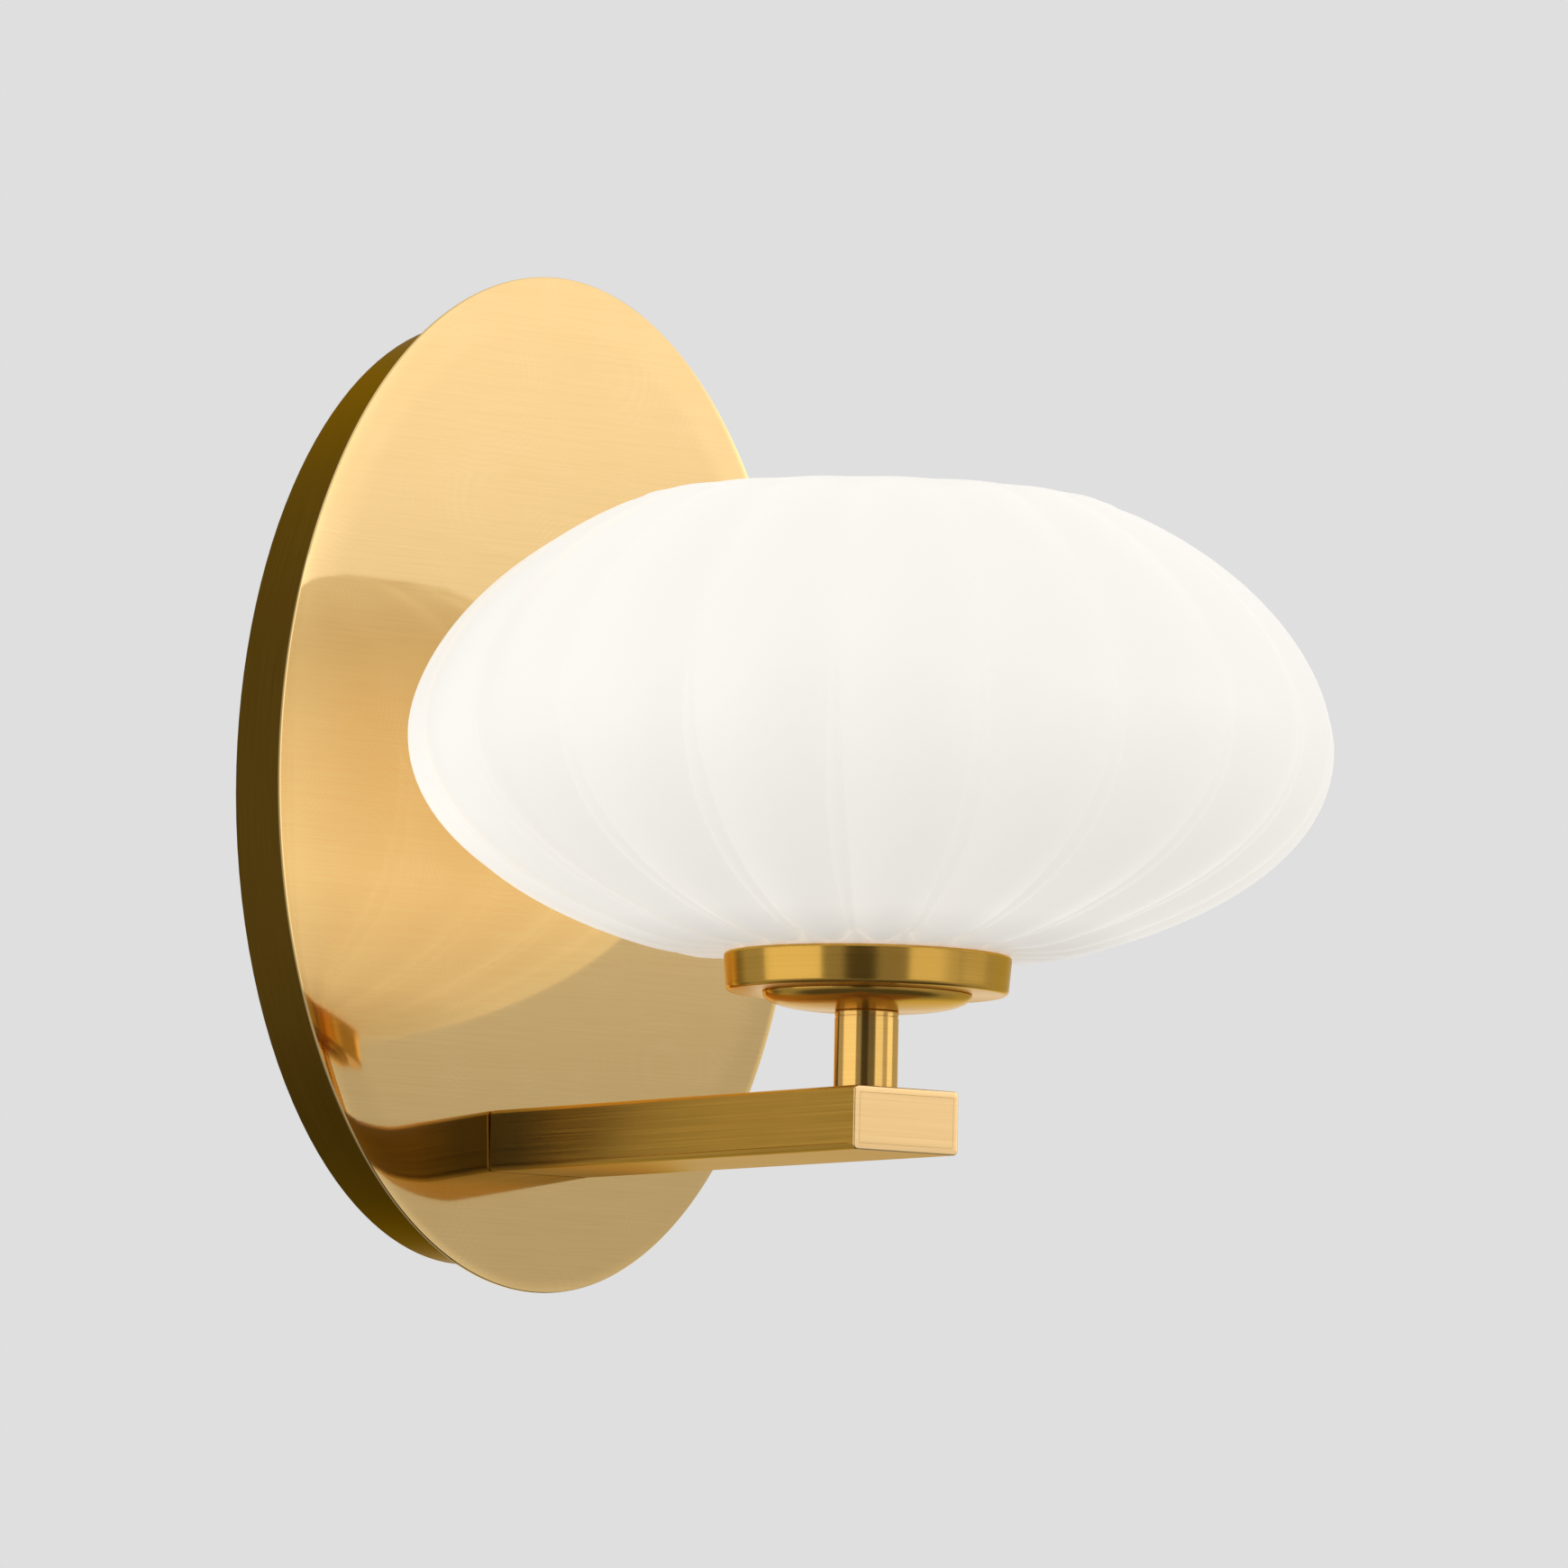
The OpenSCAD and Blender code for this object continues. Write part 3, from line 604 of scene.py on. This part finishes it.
def blow_shade(name, per_lobe=20):
    """The closed skin: the outline run round the axis and pressed in by the valleys."""
    path = shade_outline()
    around, count = LOBES * per_lobe, len(path)
    points = []
    for i, (r, z, share) in enumerate(path):
        before, after = path[max(i - 1, 0)], path[min(i + 1, count - 1)]
        run = Vector((after[0] - before[0], after[1] - before[1])).normalized()
        for k in range(around):
            a = TURN + 2 * math.pi * k / around
            cut = VALLEY * share * valley_share(a)
            rr, zz = r - run.y * cut, z + run.x * cut
            points.append((rr * math.sin(a), AXIS_Y - rr * math.cos(a), zz))
    return solid(name, points, closed_skin(count, around))


shade = blow_shade("fluted_shade")
shade.data.materials.append(opal)
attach(shade, "shade")
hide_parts("glass_shade")
print("shade faces:", len(shade.data.polygons))
print("shade size, mm:", [round(d * 1000, 1) for d in shade.dimensions])

# %% [markdown]
# ## Helpers for turned and drawn pieces
#
# A mirror finish shows every facet, so the pieces that the light draws on are made again in
# fine steps, from the same outlines as their CAD nodes. A turned piece is an outline spun
# round the axis, as on a lathe. Smooth shading would bend the light on long flat runs, so a
# pair of points is added close to the ends of each long run: they hold it flat.

# %% Turned outlines
def arc(r, z, radius, start, stop, steps=8):
    """Points on a round about r, z, from one angle to another, in degrees."""
    turns = [math.radians(start + (stop - start) * k / steps) for k in range(steps + 1)]
    return [(r + radius * math.cos(a), z + radius * math.sin(a)) for a in turns]


def hold(path, margin=0.12, long=0.9):
    """Adds a point close to each end of every run longer than long, in millimetres."""
    held = []
    for one, two in zip(path, path[1:] + path[:1]):
        held.append(one)
        run = Vector(two) - Vector(one)
        if run.length > long:
            step = run.normalized() * margin
            held += [tuple(Vector(one) + step), tuple(Vector(two) - step)]
    return held


def turned(name, path, foot_z, around=256):
    """Spins a closed outline, in millimetres above foot_z, round the axis of the glass."""
    path = hold(path)
    points = []
    for r, z in path:
        for k in range(around):
            a = 2 * math.pi * k / around
            points.append((r * math.sin(a) / 1000, AXIS_Y - r * math.cos(a) / 1000,
                           foot_z + z / 1000))
    return solid(name, points, closed_skin(len(path), around))


def loft(name, loops):
    """Joins loops of equal length into one closed skin, the last back to the first."""
    points = [p for loop in loops for p in loop]
    return solid(name, points, closed_skin(len(loops), len(loops[0])))


def drill(piece, start, stop, radius, steps=48):
    """Cuts a round hole along the line from start to stop."""
    start, stop = Vector(start), Vector(stop)
    along = (stop - start).normalized()
    side = along.orthogonal().normalized()
    other = along.cross(side)
    spokes = [2 * math.pi * k / steps for k in range(steps)]
    points = [tuple(end + radius * (math.cos(a) * side + math.sin(a) * other))
              for end in (start, stop) for a in spokes]
    faces = [tuple(reversed(range(steps))), tuple(range(steps, 2 * steps))]
    faces += [(k, (k + 1) % steps, steps + (k + 1) % steps, steps + k) for k in range(steps)]
    bit = solid("bit", points, faces)
    cut = piece.modifiers.new("hole", "BOOLEAN")
    cut.operation, cut.solver, cut.object = "DIFFERENCE", "EXACT", bit
    bpy.context.view_layer.update()
    drilled = piece.evaluated_get(bpy.context.evaluated_depsgraph_get())
    made = bpy.data.meshes.new_from_object(drilled)
    piece.modifiers.clear()
    piece.data = made
    bpy.data.objects.remove(bit)


def stand_in(piece, body, replaced, material):
    """Gives a piece its finish and puts it in the place of its CAD node."""
    piece.data.materials.clear()
    piece.data.materials.append(material)
    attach(piece, body)
    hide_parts(replaced)
    print(replaced, "->", piece.name, len(piece.data.polygons), "faces")
    return piece

# %% [markdown]
# ## The dished face
#
# The face is one disc of sheet brass, pressed into a very shallow dish. Its last 12 mm roll
# softly back, and this is what bends the mirror image of the arm at the edge of the plate.
# A mirror shows every flat facet, so the disc is made of fine rings, and its front points
# follow the dish and the roll exactly.

# %% Face disc
# half its width and height, how far its middle stands from the wall, the dish's radius, the sheet
FACE_A, FACE_B, FACE_OUT, DISH_R, SHEET = 0.0735, 0.1175, 0.0287, 2.770, 0.0012
ROLL_WIDE, ROLL_DEEP = 0.012, 0.0004


def face_depth(x, z, inset):
    """How far the front of the disc stands from the wall at x, z; inset is the way to its edge."""
    d2 = x * x + z * z
    dish = FACE_OUT + DISH_R - math.sqrt(DISH_R * DISH_R - d2)
    near = max(0.0, 1 - inset / ROLL_WIDE)
    return dish - ROLL_DEEP * near ** 2.5


def press_face(name, rings=64, around=288):
    """The oval sheet: rings over its front, round its rim and back over its rear."""
    points, faces = [], []

    def ring(scale, back):
        """One oval ring, scale of the full size and back behind the front; says where it starts."""
        start = len(points)
        for k in range(around):
            a = 2 * math.pi * k / around
            x, z = FACE_A * scale * math.cos(a), FACE_B * scale * math.sin(a)
            inset = (1 - scale) * math.hypot(FACE_A * math.cos(a), FACE_B * math.sin(a))
            points.append((x, -(face_depth(x, z, max(inset, 0)) - back), z))
        return start

    scales = [(k / rings) ** 0.8 for k in range(1, rings)]
    rim = [(0.9985, 0.00002), (0.99985, 0.00022), (1.0, 0.0005), (1.0, 0.0008), (0.9992, 0.00115),
           (0.998, SHEET)]
    steps = [(s, 0) for s in scales] + rim + [(s, SHEET) for s in reversed(scales)]
    starts = [ring(s, b) for s, b in steps]
    for one, two in zip(starts, starts[1:]):
        for k in range(around):
            l = (k + 1) % around
            faces.append((one + k, one + l, two + l, two + k))
    for start, back, turn in ((starts[0], 0, 1), (starts[-1], SHEET, -1)):
        points.append((0, -(FACE_OUT - back), 0))
        hub = len(points) - 1
        for k in range(around):
            faces.append((hub, start + (k + 1) % around, start + k)[::turn])
    return solid(name, points, faces)


disc = press_face("dished_face")
print("face disc:", len(disc.data.polygons), "faces")

# %% [markdown]
# ## Studs and holes of the face
#
# Four threaded studs are welded to the back of the sheet and pass through the pan, where a nut
# holds each. The arm is screwed on through two holes, and the leads pass through a third one
# between them. These holes are cut with a boolean, as a drill would, because they lie in a
# curved sheet.

# %% Studs and holes
# where the four studs are, their radius, and how far their ends stay from the wall
STUD_X, STUD_ZS, STUD_R, STUD_BACK = 0.038, (0.062, -0.034), 0.0015, 0.0214
THREAD_PITCH, THREAD_DEEP, THREAD_TURNS = 0.0004, 0.00015, 10
ARM_Z, SCREW_X = -0.0834, 0.0085
WIRE_HOLE_R, SCREW_HOLE_R = 0.0041, 0.0022
BEHIND_FACE, BEFORE_FACE = -0.020, -0.040


def weld_studs(piece, sides=24):
    """Four short studs on the back of the face hold it to the pan; their ends are threaded."""
    mesh = bmesh.new()
    mesh.from_mesh(piece.data)
    for x in (-STUD_X, STUD_X):
        for z in STUD_ZS:
            deep = face_depth(x, z, 1.0) - SHEET / 2
            first = STUD_BACK + 0.0002
            rows = [(STUD_BACK, STUD_R - 0.0002), (first, STUD_R)]
            for k in range(THREAD_TURNS):
                rows += [(first + THREAD_PITCH * (k + 0.5), STUD_R - THREAD_DEEP),
                         (first + THREAD_PITCH * (k + 1), STUD_R)]
            rows += [(deep, STUD_R)]
            spokes = [2 * math.pi * k / sides for k in range(sides)]
            rings = [[mesh.verts.new((x + r * math.cos(a), -y, z + r * math.sin(a)))
                      for a in spokes] for y, r in rows]
            for one, two in zip(rings, rings[1:]):
                for k in range(sides):
                    l = (k + 1) % sides
                    mesh.faces.new((one[k], one[l], two[l], two[k]))
            mesh.faces.new(rings[0][::-1])
            mesh.faces.new(rings[-1])
    bmesh.ops.recalc_face_normals(mesh, faces=mesh.faces)
    mesh.to_mesh(piece.data)
    mesh.free()
    return piece


drill(disc, (0, BEHIND_FACE, ARM_Z), (0, BEFORE_FACE, ARM_Z), WIRE_HOLE_R)
for x in (-SCREW_X, SCREW_X):
    drill(disc, (x, BEHIND_FACE, ARM_Z), (x, BEFORE_FACE, ARM_Z), SCREW_HOLE_R, 32)
weld_studs(disc)
stand_in(disc, "fixture", "face_disc", face_brass)

# %% [markdown]
# ## Cup, step and stem
#
# Three turned pieces stand on the arm: the stem, with a fine groove near its top, a shallow
# bowl-shaped step, and the cup that holds the glass. The cup has a rolled top edge, which
# catches a thin pale line of light all round, and a small round at its foot. The outlines are
# in millimetres: distance from the axis, and height above the piece's own foot.

# %% Turned pieces
HOLE = 5.15         # the hole's radius, for the nipple
CUP_FOOT_Z, STEP_FOOT_Z, STEM_FOOT_Z = -0.0551, -0.0590, -0.0764
cup_out = arc(29.9, 1.1, 1.1, -90, -5) + arc(31.0, 7.8, 0.6, 0, 90)
cup_in = [(30.4, 8.4), (30.2, 8.1), (29.65, 2.1), (29.45, 1.65), (29.1, 1.5)]
cup_path = [(HOLE, 0)] + cup_out + cup_in + [(HOLE, 1.5)]

STEP_R, STEP_HIGH = 23.0, 3.9
bowl = [(STEP_R * math.cos(math.radians(t)) ** 0.55,
         STEP_HIGH * (1 - math.sin(math.radians(t)) ** 0.94)) for t in range(84, 0, -2)]
step_path = [(HOLE, STEP_HIGH), (HOLE, 0)] + bowl + [(STEP_R, 3.75), (22.85, STEP_HIGH)]

STEM_R, STEM_HIGH = 7.0, 17.4
groove = [(STEM_R, 15.95), (6.8, 16.02), (6.8, 16.2), (STEM_R, 16.27)]
stem_path = ([(HOLE, 0)] + arc(6.8, 0.2, 0.2, -90, 0, 4) + groove + arc(6.8, 17.2, 0.2, 0, 90, 4) +
             [(HOLE, STEM_HIGH)])

for name, path, foot_z, replaced, finish_used in (
        ("turned_cup", cup_path, CUP_FOOT_Z, "glass_cup", cup_brass),
        ("turned_step", step_path, STEP_FOOT_Z, "step_disc", cup_brass),
        ("turned_stem", stem_path, STEM_FOOT_Z, "stem_tube", stem_brass)):
    stand_in(turned(name, path, foot_z), "fixture", replaced, finish_used)

# %% [markdown]
# ## The arm
#
# The arm is drawn rectangular tube with small round corners, and a hair line low along both
# sides. Its front end is closed by a plug, pressed in flush, whose seam shows as a fine frame.
# The ends are broken by a small round, so that they catch a bright line of light. The front
# ring of the tube is ground together with the plug, so it has the plug's paler finish, with the
# same painted light.

# %% Arm tube and plug
# all in millimetres: width, height, wall and corner radius of the tube
ARM_W, ARM_H, ARM_T, ARM_EDGE = 28.6, 14.0, 1.5, 1.1
# the hair line: how far it is above the underside, its width and its depth
SEAM_UP, SEAM_WIDE, SEAM_DEEP = 1.35, 0.22, 0.25
# both ends' distances from the wall, the round at the ends, and the ring with the plug's finish
ARM_BACK, ARM_REACH, END_ROUND, FRONT_RING = 30.2755, 167.5, 0.4, 0.25
# how far the hair line stops short of both ends
SEAM_FROM_BACK, SEAM_FROM_FRONT = 0.5, 2.4


def bar_loop(y, inset, radius, seam=0.0, steps=10):
    """A rounded rectangle across the arm, with a hair line low on both sides.

    It takes millimetres and gives points in metres; seam is how deep the hair line is.
    """
    w, h, radius = ARM_W - 2 * inset, ARM_H - 2 * inset, max(radius, 0.02)
    loop = []
    for sx, sz, start in ((1, 1, 0), (-1, 1, 90), (-1, -1, 180), (1, -1, 270)):
        corner = arc(sx * (w / 2 - radius), sz * (h / 2 - radius), radius, start, start + 90, steps)
        low, half = -h / 2 + SEAM_UP, SEAM_WIDE / 2
        notch = [(sx * w / 2, low + half), (sx * (w / 2 - seam), low + half * 0.6),
                 (sx * (w / 2 - seam), low - half * 0.6), (sx * w / 2, low - half)]
        if (sx, sz) == (-1, -1):
            loop += notch
        loop += corner
        if (sx, sz) == (1, -1):
            loop += notch[::-1]
    held = hold(loop, 0.15)
    return [(x / 1000, -y / 1000, ARM_Z + z / 1000) for x, z in held]


def ends(near, far, radius, steps=5):
    """Distances from the wall, and insets, that round both ends of the bar."""
    turn = [math.pi / 2 * k / steps for k in range(steps + 1)]
    start = [(near + radius * (1 - math.sin(a)), radius * (1 - math.cos(a)))
             for a in reversed(turn)]
    stop = [(far - radius * (1 - math.sin(a)), radius * (1 - math.cos(a))) for a in turn]
    before_and_after_seam = [(far - SEAM_FROM_FRONT - 0.2, 0), (far - SEAM_FROM_FRONT + 0.2, 0)]
    return (start + [(near + radius + 0.15, 0)] + before_and_after_seam +
            [(far - radius - 0.15, 0)] + stop)


def seam_at(y):
    """How deep the hair line is, y millimetres from the wall."""
    return SEAM_DEEP if ARM_BACK + SEAM_FROM_BACK < y < ARM_REACH - SEAM_FROM_FRONT else 0


outer = [bar_loop(y, inset, ARM_EDGE - inset, seam_at(y))
         for y, inset in ends(ARM_BACK, ARM_REACH, END_ROUND)]
bore = [bar_loop(y, ARM_T - wider, 0.1) for y, wider in
        ((ARM_REACH, 0.03), (ARM_REACH - 0.1, 0), (ARM_BACK + 0.1, 0), (ARM_BACK, 0.10))]
tube = loft("drawn_arm", outer + bore)
drill(tube, (0, AXIS_Y, ARM_Z + 0.004), (0, AXIS_Y, ARM_Z + 0.010), HOLE / 1000)
stand_in(tube, "fixture", "arm_tube", arm_brass)
# the front ring takes the end's finish and its painted light
tube.data.materials.append(end_painted_light_brass)
for polygon in tube.data.polygons:
    polygon.material_index = int(polygon.center.y < -(ARM_REACH - FRONT_RING) / 1000)

# %% [markdown]
# ## The pieces that stay as the CAD made them
#
# Everything behind the canopy and inside the glass keeps its CAD mesh and only gets its
# finish. Most of these are one recipe with other numbers: two close tones mixed by a noise,
# a roughness that wanders a little, and a fine bump. Zinc plate is grey metal with a cold
# cast and cloudy spots. Cast and moulded plastics are matt with a faint orange-peel.
# Porcelain has a glaze over a creamy body. Copper and plated contacts are drawn metal with
# fine lines along them. The frosted bulb is clear glass roughened, so it lets light through.

# %% Recipe for small pieces
def stock(name, one, other, roughness, grain, depth, **sockets):
    """one and other are its tones; grain is how often its marks change along x, y and z."""
    material, tree, shader = finish(name, **sockets)
    cloud = specks(tree, where(tree), 120.0, 3.0)
    marks = specks(tree, where(tree, grain), 1.0, 3.0, 0.6)
    tone = blend_colors(tree, between(tree, cloud, 0, 1, 0.35, 0.65), one, other)
    plug(tree, tone, shader.inputs["Base Color"])
    plug(tree, between(tree, marks, roughness * 0.85, roughness * 1.15), shader.inputs["Roughness"])
    plug(tree, ripple(tree, marks, depth), shader.inputs["Normal"])
    return material


spots, fine, pitted = (300, 300, 300), (1500, 1500, 1500), (700, 700, 700)
along_y, along_z = (1800, 60, 1800), (1800, 1800, 60)

# %% [markdown]
# ## Metals behind the plate and in the holder
#
# Plated steel, machined brass, plated spring contacts and drawn copper wire. They are metals
# through and through, so their colour is in the reflection.

# %% Metal finishes
zinc = stock("zinc_plate", (0.52, 0.54, 0.57), (0.63, 0.64, 0.65), 0.33, spots, 1e-6, Metallic=1.0)
green = stock("green_zinc_plate", (0.03, 0.22, 0.05), (0.06, 0.32, 0.09), 0.35, spots, 1e-6,
              Metallic=0.7)
raw = stock("machined_brass", (0.52, 0.36, 0.12), (0.62, 0.44, 0.17), 0.30, along_z, 6e-7,
            Metallic=1.0)
contact = stock("plated_contact", (0.62, 0.42, 0.16), (0.70, 0.50, 0.22), 0.25, along_z, 5e-7,
                Metallic=1.0)
copper = stock("drawn_copper", (0.62, 0.25, 0.10), (0.72, 0.33, 0.15), 0.28, along_y, 5e-7,
               Metallic=1.0)
print("metals:", [m.name for m in (zinc, green, raw, contact, copper)])

# %% [markdown]
# ## Rubber, plastic, ceramic and bulb glass
#
# Silicone gaskets scatter a little light inside. The holder is porcelain with a glaze in a
# moulded shell. The leads have plastic sleeves, the connectors a coarser moulded skin.

# %% Other finishes
silicone = stock("white_silicone", (0.74, 0.74, 0.72), (0.79, 0.79, 0.77), 0.55, fine, 3e-6,
                 Subsurface_Weight=0.15, Subsurface_Scale=0.002)
holder = stock("holder_plastic", (0.70, 0.70, 0.67), (0.75, 0.75, 0.72), 0.45, fine, 2e-6)
glaze = stock("glazed_porcelain", (0.84, 0.82, 0.76), (0.88, 0.86, 0.81), 0.42, (90, 90, 90), 6e-6,
              Coat_Weight=0.8, Coat_Roughness=0.06)
ceramic = stock("bulb_ceramic", (0.80, 0.79, 0.75), (0.86, 0.85, 0.82), 0.60, fine, 3e-6)
frosted = stock("frosted_bulb_glass", (0.90, 0.90, 0.88), (0.94, 0.94, 0.92), 0.50, fine, 3e-6,
                Transmission_Weight=0.35, IOR=1.48)
black_sleeve = stock("black_wire_sleeve", (0.012, 0.012, 0.013), (0.022, 0.022, 0.024), 0.40,
                     pitted, 3e-6)
white_sleeve = stock("white_wire_sleeve", (0.76, 0.76, 0.74), (0.82, 0.82, 0.80), 0.42,
                     pitted, 3e-6)
orange = stock("orange_nut_plastic", (0.62, 0.16, 0.015), (0.70, 0.20, 0.025), 0.45,
               (900, 900, 90), 6e-6)
nylon = stock("black_nylon", (0.014, 0.014, 0.016), (0.026, 0.026, 0.028), 0.50, fine, 3e-6)
print("others:", [m.name for m in (silicone, holder, glaze, ceramic, frosted, black_sleeve,
                                   white_sleeve, orange, nylon)])

# %% [markdown]
# ## Dressing the CAD pieces
#
# Each CAD node that is still seen takes its finish in its own material slot. The print at the
# end says whether a node was forgotten.

# %% Dress
FINISHES = [
    (end_painted_light_brass, "arm_end_plug"),
    (stem_brass, "canopy_screws"),
    (pan_painted_shade_brass, "canopy_pan"),
    (zinc, "mounting_bar disc_nuts backing_plate arm_screws arm_washers nipple nipple_washer"),
    (green, "ground_screw"),
    (raw, "arm_rear_block nipple_nut"),
    (silicone, "seat_gasket ring_gasket"),
    (holder, "socket_shell shade_ring"),
    (glaze, "socket_core"),
    (contact, "socket_contacts"),
    (ceramic, "bulb_base"),
    (frosted, "bulb_envelope"),
    (black_sleeve, "black_lead"),
    (white_sleeve, "white_lead"),
    (copper, "ground_lead"),
    (orange, "wire_nuts"),
    (nylon, "wire_bushing"),
]
MADE_AGAIN = {"face_disc", "glass_shade", "glass_cup", "step_disc", "stem_tube", "arm_tube"}
dressed = set()
for material, names in FINISHES:
    for name in names.split():
        nodes[name].data.materials.clear()
        nodes[name].data.materials.append(material)
        dressed.add(name)
print("dressed:", len(dressed), "made again:", len(MADE_AGAIN))
print("forgotten:", sorted(set(nodes) - dressed - MADE_AGAIN))
